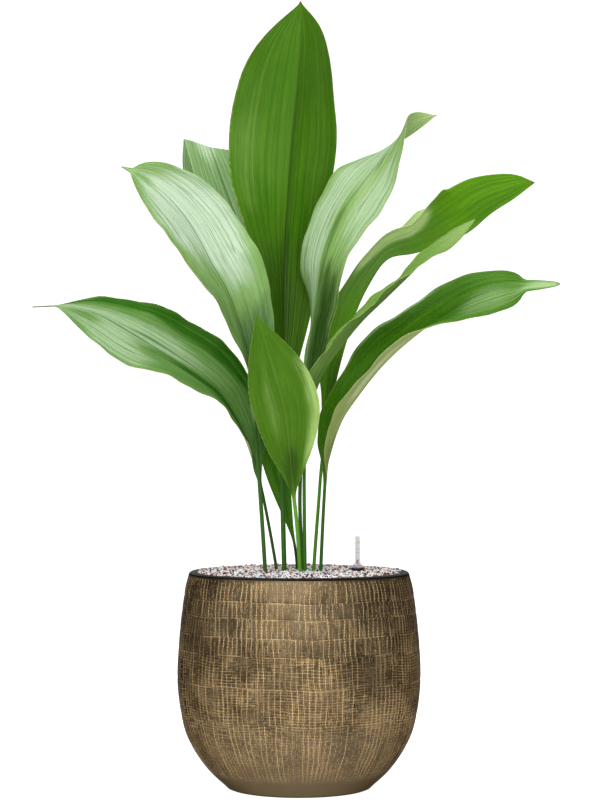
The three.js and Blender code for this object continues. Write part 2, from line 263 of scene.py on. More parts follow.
leafForm = {
    "stemFoot": 0.2138,         # where the stems end in the substrate
    "marginThickness": 0.0007,
    "ribThickness": 0.0013,
    "flattenShare": 0.12,       # where the round stem has become a flat blade
    "ribFadeShare": 0.35,       # where the stem's thickness has run out along the rib
    "rowLength": 0.0042,
    "columnWidth": 0.0013,
    "point": 0.008,             # the share of the blade that narrows to its tip
    "veinPitch": 0.0027,
    "pleatDepth": 0.0006,
    "ribGroove": (0.0006, 0.0013),      # depth, half width
    "ribKeel": (0.0007, 0.0016),
    "coreShare": 1.8,           # how thick the rib begins, as a share of the stem's radius
    "stemShare": 0.94,          # the stem is a little slimmer here than the solid
    "bulgePower": 2.2,          # how fast the blade thins from rib to margin
    "curveSteps": 600,
}
leafFinish = {
    "specular": 0.25, "sheen": (0.8, 1, 0.55, 1),
    "margin": (186, 180, 120), "browned": (96, 66, 34),
    "stemLight": 1.25, "veinDepth": 0.0003,
}

# Each station is x, y, z, turn and fold: turn is the blade's roll about its own length, fold is
# how far each half rises from flat, both in degrees. Wave is the margin's ripple and its count.
# Upper and under are two greens, a deep tone for the veins and for painted shade, and a pale tone
# that is painted sheen. A zone is a place on the face, across and along it, its reach both ways and
# how much painted sheen, or below 0 how much painted shade. On the sage-pale leaves the greens are
# lightened too, partly painted sheen, and stems in shade have darker colours, partly painted shade.
leaves = {
    "leaf_tall": {
        "stem": 0.0029, "bladeFrom": 0.28, "halfWidths": (0.075, 0.062),
        "swell": (1.15, 0.52), "wave": (0.002, 3), "beak": (0, 0), "point": 0.045,
        "stations": [
            (-0.017, 0.004, 0.25, 30, 20), (-0.019, 0.008, 0.33, 34, 24), (-0.02, 0.016, 0.402, 38, 28),
            (-0.019, 0.026, 0.464, 42, 30), (-0.018, 0.038, 0.556, 42, 25), (-0.016, 0.05, 0.637, 38, 6),
            (-0.012, 0.056, 0.696, 27, -9), (-0.008, 0.058, 0.752, 18, -15), (-0.002, 0.054, 0.812, 22, -20),
            (0.002, 0.048, 0.868, 22, -18), (0.002, 0.044, 0.917, 10, -6),
        ],
        "slot": "leaf_mid", "pleats": 0.45, "rib": (38, 68, 12), "ribWidth": 0.003, "tip": 0.985,
        "stemColor": (46, 84, 26),
        "upper": ((52, 104, 1), (82, 129, 14), (42, 72, 10), (128, 160, 76)),
        "under": ((70, 108, 40), (120, 150, 80), (56, 90, 30), (150, 176, 112)),
        "upperZones": [
            (0, 0.3, 1.5, 0.26, -0.75), (-0.74, 0.6, 0.28, 0.34, 0.38), (0.6, 0.66, 0.4, 0.3, 0.2),
            (0.05, 0.55, 0.12, 0.5, -0.35),
        ],
        "underZones": [],
    },
    "leaf_left_low": {
        "stem": 0.0019, "bladeFrom": 0.27, "halfWidths": (0.054, 0.054),
        "swell": (1.2, 0.95), "wave": (0.002, 5), "beak": (0.07, 0.001),
        "stations": [
            (-0.026, 0.01, 0.25, 46, 24), (-0.036, 0.008, 0.308, 48, 28), (-0.047, 0.004, 0.36, 52, 32),
            (-0.062, -0.002, 0.405, 54, 36), (-0.086, -0.01, 0.448, 56, 32), (-0.116, -0.02, 0.475, 57, 27),
            (-0.152, -0.03, 0.499, 57, 20), (-0.192, -0.04, 0.524, 49, 6), (-0.23, -0.048, 0.545, 50, -10),
            (-0.264, -0.054, 0.554, 56, -24), (-0.302, -0.058, 0.553, 60, -24),
        ],
        "slot": "leaf_dark", "pleats": 1.0, "rib": (46, 92, 36), "ribWidth": 0.0016, "tip": 0.93,
        "stemColor": (40, 70, 24),
        "upper": ((84, 130, 50), (120, 160, 90), (38, 98, 1), (166, 193, 150)),
        "under": ((150, 164, 98), (182, 192, 134), (112, 130, 64), (206, 212, 164)),
        "upperZones": [
            (0.86, 0.52, 0.36, 0.6, -1.4), (0.2, 0.62, 0.5, 0.4, 1), (-0.12, 0.4, 0.26, 0.26, -1.3),
            (-0.55, 0.7, 0.55, 0.2, 1), (-0.45, 0.24, 0.5, 0.2, -1), (0, 0.9, 1.3, 0.1, 0.5),
        ],
        "underZones": [],
    },
    "leaf_left_high": {
        "stem": 0.0024, "bladeFrom": 0.37, "halfWidths": (0.054, 0.055),
        "swell": (1.2, 0.7), "wave": (0.002, 4), "beak": (0.03, 0.003),
        "stations": [
            (-0.039, -0.01, 0.251, 30, 25), (-0.046, -0.016, 0.36, 36, 32), (-0.051, -0.022, 0.425, 40, 38),
            (-0.056, -0.028, 0.486, 42, 42), (-0.07, -0.034, 0.541, 40, 35), (-0.084, -0.038, 0.576, 42, 32),
            (-0.1, -0.042, 0.604, 45, 26), (-0.118, -0.044, 0.638, 44, 18), (-0.136, -0.045, 0.664, 45, 14),
            (-0.156, -0.046, 0.685, 41, 13), (-0.179, -0.047, 0.702, 34, 16), (-0.202, -0.047, 0.713, 44, 18),
        ],
        "slot": "leaf_pale", "pleats": 0.9, "rib": (60, 104, 44), "ribWidth": 0.0014, "tip": 0.99,
        "stemColor": (48, 86, 30),
        "upper": ((112, 154, 74), (150, 188, 116), (70, 106, 58), (203, 224, 197)),
        "under": ((120, 142, 92), (168, 182, 130), (100, 124, 70), (186, 200, 150)),
        "upperZones": [
            (0.35, 0.7, 1.2, 0.38, 1.1), (-0.5, 0.78, 0.8, 0.16, 0.8), (-0.9, 0.42, 0.5, 0.24, -0.4),
            (0.35, 0.2, 1.5, 0.32, -1), (0.5, 0.92, 0.9, 0.1, -0.6),
        ],
        "underZones": [],
    },
    "leaf_back_left": {
        "stem": 0.002, "bladeFrom": 0.4, "halfWidths": (0.036, 0.04),
        "swell": (1.2, 0.7), "wave": (0.002, 3), "beak": (0, 0),
        "stations": [
            (-0.016, 0.024, 0.249, 0, 15), (-0.024, 0.044, 0.388, 0, 20), (-0.032, 0.07, 0.516, 2, 20),
            (-0.046, 0.092, 0.588, 6, 16), (-0.068, 0.112, 0.648, 12, 12), (-0.09, 0.13, 0.706, 20, 8),
            (-0.103, 0.146, 0.742, 28, 6), (-0.11, 0.166, 0.758, 32, 6), (-0.116, 0.19, 0.754, 32, 6),
            (-0.124, 0.21, 0.736, 30, 4), (-0.132, 0.224, 0.702, 28, 6),
        ],
        "slot": "leaf_pale", "pleats": 0.8, "rib": (66, 96, 54), "ribWidth": 0.0016, "tip": 0.99,
        "stemColor": (40, 70, 24),
        "upper": ((116, 154, 96), (150, 188, 126), (80, 114, 62), (202, 230, 188)),
        "under": ((116, 154, 96), (150, 188, 126), (80, 114, 62), (196, 222, 180)),
        "upperZones": [
            (-0.2, 0.8, 0.6, 0.2, 0.85), (0.5, 0.7, 0.6, 0.2, -0.3),
        ],
        "underZones": [],
    },
    "leaf_right_high": {
        "stem": 0.0022, "bladeFrom": 0.3, "halfWidths": (0.049, 0.047),
        "swell": (1.6, 1.08), "wave": (0.002, 4), "beak": (0, 0),
        "stations": [
            (0.005, 0.01, 0.249, -24, 10), (0.001, 0.006, 0.33, -26, 10), (0.005, 0, 0.424, -40, -10),
            (0.011, -0.004, 0.488, -50, -22), (0.017, -0.006, 0.54, -62, -20),
            (0.024, -0.004, 0.582, -62, -6), (0.03, 0, 0.612, -52, 1), (0.042, 0.004, 0.646, -45, -1),
            (0.058, 0.012, 0.678, -40, -5),
            (0.083, 0.024, 0.712, -38, 1), (0.112, 0.04, 0.75, -74, 0), (0.134, 0.054, 0.774, -120, 4),
            (0.163, 0.062, 0.785, -155, 8),
        ],
        "slot": "leaf_pale", "pleats": 0.8, "rib": (72, 122, 64), "ribWidth": 0.0018, "tip": 0.99,
        "stemColor": (46, 84, 26),
        "upper": ((104, 144, 66), (146, 180, 110), (34, 66, 12), (167, 194, 154)),
        "under": ((150, 184, 110), (186, 212, 142), (84, 116, 50), (206, 226, 170)),
        "upperZones": [
            (0.5, 0.22, 1.2, 0.34, -1.2), (-0.5, 0.5, 0.8, 0.3, 1), (-0.3, 0.8, 0.9, 0.26, 0.9),
            (-0.02, 0.5, 0.12, 0.26, -0.9), (0.6, 0.64, 0.6, 0.3, 0.85),
        ],
        "underZones": [],
    },
    "leaf_right_fold": {
        "stem": 0.0022, "bladeFrom": 0.28, "halfWidths": (0.057, 0.062),
        "swell": (1.2, 0.62), "wave": (0.002, 4), "beak": (0, 0),
        "stations": [
            (0.017, -0.004, 0.251, -90, 22), (0.022, 0.004, 0.32, -92, 26), (0.028, 0.014, 0.39, -93, 29),
            (0.042, 0.028, 0.47, -97, 46), (0.064, 0.042, 0.545, -97, 30), (0.084, 0.048, 0.588, -92, 16),
            (0.105, 0.054, 0.615, -82, 20), (0.136, 0.058, 0.622, -76, 36), (0.168, 0.062, 0.632, -78, 54),
            (0.2, 0.066, 0.647, -94, 56), (0.228, 0.07, 0.67, -108, 56), (0.254, 0.074, 0.687, -114, 50),
            (0.28, 0.078, 0.707, -116, 46),
        ],
        "slot": "leaf_bright", "pleats": 0.5, "rib": (60, 92, 36), "ribWidth": 0.0016, "tip": 0.985,
        "stemColor": (62, 112, 12),
        # Its upper face shows as the pale flap that turns up to the light: these greens are painted sheen.
        "upper": ((198, 230, 148), (218, 244, 176), (140, 180, 90), (226, 244, 190)),
        "under": ((66, 124, 2), (104, 160, 14), (38, 86, 2), (184, 216, 132)),
        "upperZones": [],
        "underZones": [
            (0, 0.18, 1.4, 0.16, -0.8), (0.95, 0.56, 0.55, 0.14, 2.6), (0.3, 0.85, 0.6, 0.15, -0.4),
        ],
    },
    "leaf_right_edge": {
        "stem": 0.0022, "bladeFrom": 0.38, "halfWidths": (0.03, 0.03),
        "swell": (1, 0.9), "wave": (0.002, 5), "beak": (0, 0),
        "stations": [
            (0.007, -0.012, 0.251, -90, 24), (0.006, -0.02, 0.372, -92, 28), (0.01, -0.03, 0.422, -94, 34),
            (0.017, -0.038, 0.455, -97, 38), (0.029, -0.046, 0.482, -98, 34), (0.048, -0.054, 0.509, -95, 26),
            (0.071, -0.06, 0.537, -93, 19), (0.097, -0.066, 0.562, -93, 14), (0.123, -0.072, 0.587, -93, 12),
            (0.145, -0.078, 0.609, -82, 6), (0.167, -0.082, 0.626, -66, 0), (0.199, -0.086, 0.651, -62, 0),
        ],
        "slot": "leaf_bright", "pleats": 0.6, "rib": (84, 124, 50), "ribWidth": 0.0014, "tip": 0.985,
        "stemColor": (54, 96, 30),
        "upper": ((98, 142, 50), (132, 168, 84), (60, 98, 30), (139, 170, 96)),
        "under": ((98, 138, 58), (138, 172, 92), (66, 104, 36), (138, 168, 96)),
        "upperZones": [
            (0, 0.93, 1.3, 0.16, 0.9), (0, 0.2, 1.3, 0.2, -0.6), (-0.5, 0.45, 0.35, 0.2, 0.35),
        ],
        "underZones": [
            (0, 0.93, 1.3, 0.16, 0.9), (0, 0.2, 1.3, 0.2, -0.6), (0.5, 0.45, 0.35, 0.2, 0.35),
        ],
    },
    "leaf_right_low": {
        "stem": 0.0022, "bladeFrom": 0.26, "halfWidths": (0.041, 0.044),
        "swell": (0.75, 0.45), "wave": (0.002, 4), "beak": (0.1, 0.008),
        "stations": [
            (0.025, -0.008, 0.251, -75, 26), (0.03, -0.012, 0.355, -75, 36), (0.035, -0.016, 0.388, -74, 43),
            (0.048, -0.022, 0.424, -73, 43), (0.066, -0.03, 0.451, -71, 43), (0.092, -0.04, 0.484, -73, 39),
            (0.12, -0.05, 0.511, -77, 32), (0.162, -0.058, 0.543, -74, 18), (0.204, -0.066, 0.566, -56, 4),
            (0.24, -0.072, 0.575, -50, -4), (0.294, -0.08, 0.578, -46, 0),
        ],
        "slot": "leaf_dark", "pleats": 0.8, "rib": (44, 90, 30), "ribWidth": 0.0014, "tip": 0.985,
        "stemColor": (40, 84, 20),
        "upper": ((50, 106, 2), (84, 138, 20), (34, 82, 1), (160, 191, 132)),
        "under": ((130, 150, 70), (172, 188, 112), (86, 108, 40), (222, 230, 176)),
        "upperZones": [
            (0, 0.95, 1.4, 0.12, 1), (0.4, 0.78, 0.8, 0.16, 0.5), (-0.7, 0.5, 0.4, 0.32, -0.5),
            (0.92, 0.46, 0.3, 0.24, 1.8), (-0.96, 0.5, 0.12, 0.3, 1),
        ],
        "underZones": [
            (0.35, 0.37, 0.36, 0.2, 0.75), (-0.35, 0.35, 0.3, 0.2, 0.5), (0, 0.08, 1.2, 0.12, -0.7),
        ],
    },
    "leaf_front": {
        "stem": 0.0022, "bladeFrom": 0.35, "halfWidths": (0.037, 0.04),
        "swell": (1.45, 1.3), "wave": (0.0015, 2), "beak": (0, 0),
        "stations": [
            (0.001, -0.02, 0.251, 10, 20), (-0.002, -0.027, 0.3, 10, 26), (-0.006, -0.034, 0.338, 10, 30),
            (-0.009, -0.042, 0.368, 10, 24), (-0.012, -0.052, 0.399, 10, 14), (-0.016, -0.06, 0.436, 10, 8),
            (-0.024, -0.068, 0.466, 10, 6), (-0.036, -0.076, 0.504, 8, 6), (-0.049, -0.084, 0.545, 6, 6),
        ],
        "slot": "leaf_bright", "pleats": 0.5, "rib": (84, 128, 40), "ribWidth": 0.002, "tip": 0.995,
        "stemColor": (84, 140, 40),
        "upper": ((58, 104, 4), (84, 130, 20), (42, 74, 6), (166, 200, 112)),
        "under": ((96, 140, 50), (140, 172, 90), (76, 116, 36), (160, 190, 110)),
        "upperZones": [
            (-0.4, 0.5, 0.32, 0.36, 0.3), (0.95, 0.4, 0.4, 0.5, 1), (0, 0.1, 1.2, 0.26, -0.8),
            (0.15, 0.3, 0.3, 0.3, -0.3),
        ],
        "underZones": [],
    },
    "leaf_young": {
        "stem": 0.0017, "bladeFrom": 0.28, "halfWidths": (0.014, 0.015),
        "swell": (1.5, 0.9), "wave": (0.0015, 2), "beak": (0, 0),
        "stations": [
            (-0.002, 0.026, 0.249, 0, 20), (-0.005, 0.025, 0.278, 0, 24), (-0.012, 0.024, 0.308, 0, 26),
            (-0.019, 0.024, 0.336, 0, 24), (-0.028, 0.026, 0.37, 0, 20), (-0.037, 0.028, 0.402, 0, 14),
            (-0.045, 0.03, 0.434, 0, 10),
        ],
        "slot": "leaf_mid", "pleats": 0.5, "rib": (64, 112, 24), "ribWidth": 0.0014, "tip": 0.995,
        "stemColor": (34, 52, 20),
        "upper": ((44, 108, 4), (84, 140, 22), (28, 78, 2), (124, 166, 62)),
        "under": ((80, 124, 40), (120, 150, 80), (56, 96, 24), (140, 170, 100)),
        "upperZones": [
            (-0.6, 0.5, 0.3, 0.3, 0.35),
        ],
        "underZones": [],
    },
}


# A smooth curve through points of any number of values, at 0 to 1 along them.
def curveAt(points, part):
    last = len(points) - 1
    spot = min(max(part, 0), 1) * last
    index = min(int(spot), last - 1)
    share = spot - index
    start, end = points[index], points[index + 1]
    before = points[index - 1] if index > 0 else [2 * a - b for a, b in zip(start, end)]
    after = points[index + 2] if index + 2 <= last else [2 * b - a for a, b in zip(start, end)]
    values = []
    for a, b, c, d in zip(before, start, end, after):
        leaving, arriving = (c - a) / 2, (d - b) / 2
        square = 3 * (c - b) - 2 * leaving - arriving
        cube = 2 * (b - c) + leaving + arriving
        values.append(b + share * (leaving + share * (square + share * cube)))
    return values


# The parts along the curve that lie at even steps of its length.
def evenParts(points, count):
    steps = leafForm["curveSteps"]
    places = [Vector(curveAt(points, step / steps)[:3]) for step in range(steps + 1)]
    lengths = [0.0]
    for start, end in zip(places, places[1:]):
        lengths.append(lengths[-1] + (end - start).length)
    parts = []
    for row in range(count + 1):
        wanted = lengths[-1] * row / count
        index = min(max(bisect.bisect_right(lengths, wanted) - 1, 0), steps - 1)
        share = (wanted - lengths[index]) / (lengths[index + 1] - lengths[index])
        parts.append(min((index + share) / steps, 1))
    return parts, lengths[-1]


def leafPlaces(halfColumns):
    half = [(column / halfColumns) ** 1.2 for column in range(halfColumns + 1)]
    return [-place for place in reversed(half[1:])] + half


def swellAt(leaf, share):
    if share <= 0 or share >= 1:
        return 0
    rise, fall = leaf["swell"]
    widest = rise / (rise + fall)
    pointed = 1 - math.exp((share - 1) / leaf.get("point", leafForm["point"]))
    return (share / widest) ** rise * ((1 - share) / (1 - widest)) ** fall * pointed


# Soft folds that run with the veins, deeper on some leaves, from -1 in a crease to 1 on a ridge.
def pleatAt(place, seed):
    away = abs(place)
    folds = 0.6 * math.sin(44 * away + seed) + 0.4 * math.sin(71 * away + 2.1 * seed + (place > 0))
    return folds * smooth(away, 0.03, 0.16)


# Adds up the zones: above 0 painted sheen, below 0 painted shade.
def paintedLightAt(zones, place, share, seed):
    total = 0.0
    for across, along, reachAcross, reachAlong, amount in zones:
        off = math.hypot((place - across) / reachAcross, (share - along) / reachAlong)
        if off < 1.4:
            off += 0.3 * noise.noise(Vector((place * 2.6, share * 7, seed * 5.3 + amount)))
            total += amount * smooth(1 - off, 0, 0.8)
    return min(max(total, -1), 1)


# Rows of the leaf's middle surface with, for each point, the thickness on its upper and lower side
# and what the leaf's skin needs to know about it.
def leafRows(leaf, seed):
    x, y, z, turn, fold = leaf["stations"][0]
    foot = leafForm["stemFoot"]
    stations = [(x, y, foot, turn, fold), (x, y, (foot + z) / 2, turn, fold), *leaf["stations"]]
    _, length = evenParts(stations, 1)
    rowCount = round(length / leafForm["rowLength"])
    parts, _ = evenParts(stations, rowCount)
    halfColumns = max(8, round(max(leaf["halfWidths"]) / leafForm["columnWidth"]))
    places = leafPlaces(halfColumns)
    across = Vector((1, 0, 0))
    rows = []
    for row, part in enumerate(parts):
        share = (row / rowCount - leaf["bladeFrom"]) / (1 - leaf["bladeFrom"])
        *centre, turn, fold = curveAt(stations, part)
        ahead = Vector(curveAt(stations, part + 1e-4)[:3]) - Vector(curveAt(stations, part - 1e-4)[:3])
        tangent = ahead.normalized()
        across = (across - tangent * across.dot(tangent)).normalized()
        side = Quaternion(tangent, math.radians(turn)) @ across
        upper = side.cross(tangent)
        rows.append([
            leafPoint(leaf, place, share, seed, Vector(centre), side, upper, math.radians(fold))
            for place in places
        ])
    return rows


# What the narrow point beyond the blade adds to its half width.
def beakAt(leaf, share):
    length, halfWidth = leaf["beak"]
    left = min((1 - share) / length, 1) if length else 0
    return halfWidth * math.sqrt(max(left, 0)) * smooth(share, 0.5, 1 - length)


def leafPoint(leaf, place, share, seed, centre, side, upper, fold):
    swell = swellAt(leaf, share / (1 - leaf["beak"][0]))
    stem = leaf["stem"] * (1 - 0.8 * max(share, 0) - 0.14 * smooth(share, 0.9, 1))
    flatness = smooth(share, 0, leafForm["flattenShare"])
    thinned = smooth(share, 0, leafForm["ribFadeShare"])
    blade = leaf["halfWidths"][1 if place > 0 else 0] * swell
    halfWidth = math.hypot(stem, blade, beakAt(leaf, share))
    rounded = math.sin(place * math.pi / 2)
    shown = mixed(rounded, place, flatness)
    height, count = leaf["wave"]
    ripple = math.sin(count * 2 * math.pi * share + (1.2 if place > 0 else 3.4))
    ripple += 0.3 * math.sin(count * 5.3 * math.pi * share + seed + (2.0 if place > 0 else 0))
    ruffle = height * place ** 4 * ripple * min(1, blade / 0.03)
    rise = halfWidth * abs(shown) * math.sin(fold) * flatness + ruffle
    pleat = pleatAt(place, seed)
    rise += leafForm["pleatDepth"] * leaf["pleats"] * pleat * flatness * min(1, blade / 0.02)
    reach = halfWidth * shown * mixed(1, math.cos(fold), flatness)
    point = centre + side * reach + upper * rise
    bulge = (1 - abs(shown)) ** leafForm["bulgePower"]
    core = mixed(leaf["stem"] * leafForm["coreShare"], leafForm["ribThickness"], thinned)
    flat = leafForm["marginThickness"] + (core - leafForm["marginThickness"]) * bulge
    deep = 2 * stem * math.sqrt(max(1 - shown * shown, 0)) * leafForm["stemShare"]
    solid = max(deep, leafForm["marginThickness"] / 2)
    thickness = mixed(solid, flat, flatness) / 2
    away = halfWidth * abs(place)
    grooveDepth, grooveWidth = leafForm["ribGroove"]
    keelDepth, keelWidth = leafForm["ribKeel"]
    slim = smooth(share, -0.3, 0.1) * (1 - 0.75 * smooth(share, 0.2, 1))
    top = thickness - grooveDepth * slim * math.exp(-(away / grooveWidth) ** 2)
    bottom = thickness + keelDepth * flatness * slim * math.exp(-(away / keelWidth) ** 2)
    return point, top, bottom, (place, halfWidth, share, pleat)


# The last tag is the painted light: painted sheen above 0, painted shade below it.
leafTags = ("across", "width", "share", "pleat", "under", "bloom")


def buildLeaf(name, seed):
    leaf = leaves[name]
    rows = leafRows(leaf, seed)
    columns = len(rows[0])
    around = 2 * columns
    deselect()
    bpy.ops.mesh.primitive_grid_add(x_subdivisions=around, y_subdivisions=len(rows) - 1, size=1)
    piece = bpy.context.object
    piece.name = name + "_blade"
    mesh = piece.data
    tags = {tag: [0.0] * len(mesh.vertices) for tag in leafTags}
    lastRow, lastColumn = len(rows) - 1, columns - 1
    for vertex in mesh.vertices:
        row = round((vertex.co.y + 0.5) * lastRow)
        ring = round((vertex.co.x + 0.5) * around) % around
        isUnder = ring >= columns
        column = around - 1 - ring if isUnder else ring
        point, top, bottom, known = rows[row][column]
        onward = rows[min(row + 1, lastRow)][column][0] - rows[max(row - 1, 0)][column][0]
        over = rows[row][min(column + 1, lastColumn)][0] - rows[row][max(column - 1, 0)][0]
        outward = over.cross(onward).normalized()
        vertex.co = point + outward * (-bottom if isUnder else top)
        place, _, share, _ = known
        bloom = paintedLightAt(leaf["underZones" if isUnder else "upperZones"], place, share, seed)
        for tag, value in zip(leafTags, (*known, float(isUnder), bloom)):
            tags[tag][vertex.index] = value
    for tag, values in tags.items():
        mesh.attributes.new(tag, "FLOAT", "POINT").data.foreach_set("value", values)
    bpy.ops.object.mode_set(mode="EDIT")
    bpy.ops.mesh.select_all(action="SELECT")
    bpy.ops.mesh.remove_doubles(threshold=1e-7)
    bpy.ops.mesh.select_all(action="DESELECT")
    bpy.ops.mesh.select_non_manifold()
    bpy.ops.mesh.fill_holes(sides=0)
    turnFacesOut()
    bpy.ops.object.shade_smooth_by_angle(angle=math.radians(50))
    piece.data.materials.append(leafSkin(name, leaf, seed))
    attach(piece, "planter")
    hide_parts(name)
    return piece


class Blade:    # a leaf's tags and the lines that run with its veins, as sockets
    def __init__(self, wire, leaf, seed):
        tags = [attribute(wire, tag) for tag in leafTags]
        self.across, self.width, self.share, self.pleat, self.under, self.bloom = tags
        self.broad = self.width.step(0.003, 0.016)      # the fine lines run out where the blade is narrow
        self.lanes = self.grain(15.0, 2.6, seed * 3.7, detail=4.0)
        self.hairs = self.grain(34.0, 3.2, seed * 2.3, rough=0.65)
        clouds = self.grain(4.0, 7.0, seed * 1.9 + 4, detail=2.0)
        mottle = self.grain(26.0, 30.0, seed * 8.1)
        turns = 2 * math.pi * max(leaf["halfWidths"]) / leafForm["veinPitch"]
        veins = (self.across * turns + clouds * 5.0 + self.lanes * 7.0).wave() * 0.5 + 0.5
        self.vein = veins.step(0.4, 1.0) * self.broad
        streaks = self.lanes * 0.6 + self.hairs * 0.6 + mottle * 0.3 + clouds * 0.5 - 0.6
        self.streak = streaks.step(0.05, 0.8)
        uneven = (self.lanes - 0.5) * 1.1 + (self.hairs - 0.5) * 1.6 + (mottle - 0.5) * 0.8 + self.pleat * 0.1
        # Painted sheen and painted shade where the zones ask for them, broken up along the veins.
        self.paintedSheen = (self.bloom * (uneven * 0.7 + 0.8)).step(0.0, 0.95)
        self.shade = (self.bloom * (uneven * 0.7 - 0.8)).step(0.0, 0.95)
        # Dark creases and pleat hollows: painted shade, stronger under the painted sheen.
        bends = self.grain(7.5, 1.3, seed * 5.1, detail=0.0)
        ripples = self.grain(14.0, 2.1, seed * 6.3, detail=0.0)
        creases = softLine(bends - 0.5, 0.03, 0.2) * self.lanes.step(0.3, 0.55)
        creases = creases + softLine(ripples - 0.5, 0.035, 0.2) * self.hairs.step(0.4, 0.6) * 0.6
        creaseShade = ((-self.pleat).step(0.4, 1.0) * 0.5 + creases).least(1.0)
        self.creaseShade = creaseShade * self.broad * (self.paintedSheen * 0.3 + 0.42) * leaf["pleats"]

    def grain(self, wide, long, shift, **settings):
        return grainNoise(vector(self.across * wide, self.share * long, shift), **settings)


# One side of the blade: two greens, painted shade and sheen, painted crease shade and deep veins.
def leafFace(blade, tones):
    low, high, deep, pale = [srgb(*tone) for tone in tones]
    face = mixColor(blade.shade, mixColor(blade.streak, low, high), deep)
    face = mixColor(blade.paintedSheen, face, pale)
    face = mixColor(blade.creaseShade, face, deep)
    fine = blade.vein * 0.14 + blade.hairs.step(0.52, 0.68) * blade.broad * 0.22
    return mixColor(fine, face, deep)


# Parallel veins that meet at both ends of the blade, a rib, a pale margin and a browned tip.
def leafSkin(name, leaf, seed):
    shine = {"Specular IOR Level": leafFinish["specular"], "Specular Tint": leafFinish["sheen"]}
    material, shader, wire = startMaterial(name + "_skin", shine)
    blade = Blade(wire, leaf, seed)
    across, share = blade.across, blade.share
    isUnder = blade.under.step(0.4, 0.6)
    color = mixColor(isUnder, leafFace(blade, leaf["upper"]), leafFace(blade, leaf["under"]))
    rib = softLine(across * blade.width, leaf["ribWidth"], 0.2) * 0.65
    color = mixColor(rib * share.within(-0.05, 0.05, 0.7, 0.97), color, srgb(*leaf["rib"]))
    paleStem = [part * leafFinish["stemLight"] for part in leaf["stemColor"]]
    stemTone = mixColor(blade.lanes, srgb(*leaf["stemColor"]), srgb(*paleStem))
    color = mixColor(1 - share.step(-0.02, 0.06), color, stemTone)
    frayed = grainNoise(vector(across.above(0.0), share * 60.0, seed)).step(0.4, 0.6)
    margin = abs(across).step(0.97, 0.995) * share.step(0.0, 0.1) * frayed
    color = mixColor(margin * 0.45, color, srgb(*leafFinish["margin"]))
    browned = share.step(leaf["tip"], min(leaf["tip"] + 0.03, 1.0))
    color = mixColor(browned * 0.85, color, srgb(*leafFinish["browned"]))
    rough = isUnder * 0.14 + blade.lanes * 0.14 + 0.36
    relief = blade.vein * 0.4 + blade.hairs * 0.5 * blade.broad + blade.lanes * 0.6
    veined = bump(relief, leafFinish["veinDepth"], 0.6)
    plug(shader, {"Base Color": color, "Roughness": rough, "Normal": veined})
    return material


def buildLeaves():
    for seed, name in enumerate(leaves):
        piece = buildLeaf(name, seed + 1.0)
        print(name, "has", len(piece.data.polygons), "faces")


# Pot

potForm = {
    "height": 0.25, "rimRadius": 0.128, "wall": 0.01, "floor": 0.01, "lipRadius": 0.005, "lipSteps": 16,
    "footRadius": 0.08, "footFlat": 0.6, "footEdge": (0.0832, 0.0012), "insideFoot": 0.084,
    "outside": [
        (0.086, 0.004), (0.106, 0.023), (0.1245, 0.05), (0.135, 0.078),
        (0.141, 0.128), (0.1377, 0.184), (0.1326, 0.226), (0.128, 0.245),
    ],
    "rows": 150, "steps": 288,
    "strokes": 138,             # brushed strokes round the pot
    "rings": [0.243, 0.2225, 0.2045, 0.1835, 0.163, 0.128, 0.0875, 0.017],
    "ringDepth": 0.0004, "ringWidth": 0.0014, "thrownDepth": 0.0005,
    "ringWander": [(0.0009, 5, 1), (0.0005, 13, 0)],       # ripples of the rings: height, count, shift
    "threads": 320,             # brushed threads for each metre of height
    "strokeZone": (0.015, 0.024, 0.2448, 0.2464),       # zones: from, in full from, in full to, to
    "threadZone": (0.06, 0.085, 0.155, 0.175),
    "waistZone": (0.06, 0.12, 0.15, 0.2),
    "footZone": (0.006, 0.034),
    "lipZone": (0.2466, 0.2476),
    "bronzeTop": 0.2482,        # the dark lip begins here
}
potTones = {
    "dark": (82, 70, 52), "light": (130, 113, 88), "grime": (60, 50, 35), "ringShadow": (50, 40, 28),
    "besideStroke": (56, 45, 30), "stroke": (242, 204, 146), "foot": (158, 140, 112),
    "lip": (12, 11, 9), "glaze": (16, 16, 14), "tint": (0.12, 0.13, 0.14, 1),
}


def potProfile():
    outside = potForm["outside"]
    rim, lip, height = potForm["rimRadius"], potForm["lipRadius"], potForm["height"]
    ends = [outside[0], *outside, outside[-1]]      # held ends, so the wall leaves its foot as drawn
    wall = []
    for row in range(potForm["rows"] + 1):
        spot = row / potForm["rows"] * (len(outside) - 1)
        index = min(int(spot), len(outside) - 2)
        share = spot - index
        quad = ends[index:index + 4]
        wall.append(tuple(curveAt(quad, (1 + share) / 3)))
    turns = [step * math.pi / potForm["lipSteps"] for step in range(1, potForm["lipSteps"])]
    turned = [(rim - lip + lip * math.cos(turn), height - lip + lip * math.sin(turn)) for turn in turns]
    inside = [(radius - potForm["wall"], z) for radius, z in reversed(outside[1:-1])]
    under = potForm["footRadius"]
    foot = [(0, 0), (under * potForm["footFlat"], 0), (under, 0), potForm["footEdge"]]
    mouth = [(rim - potForm["wall"], height - lip)]
    floor = [(potForm["insideFoot"], potForm["floor"]), (0, potForm["floor"])]
    return foot + wall + turned + mouth + inside + floor, len(foot), len(foot) + len(wall)


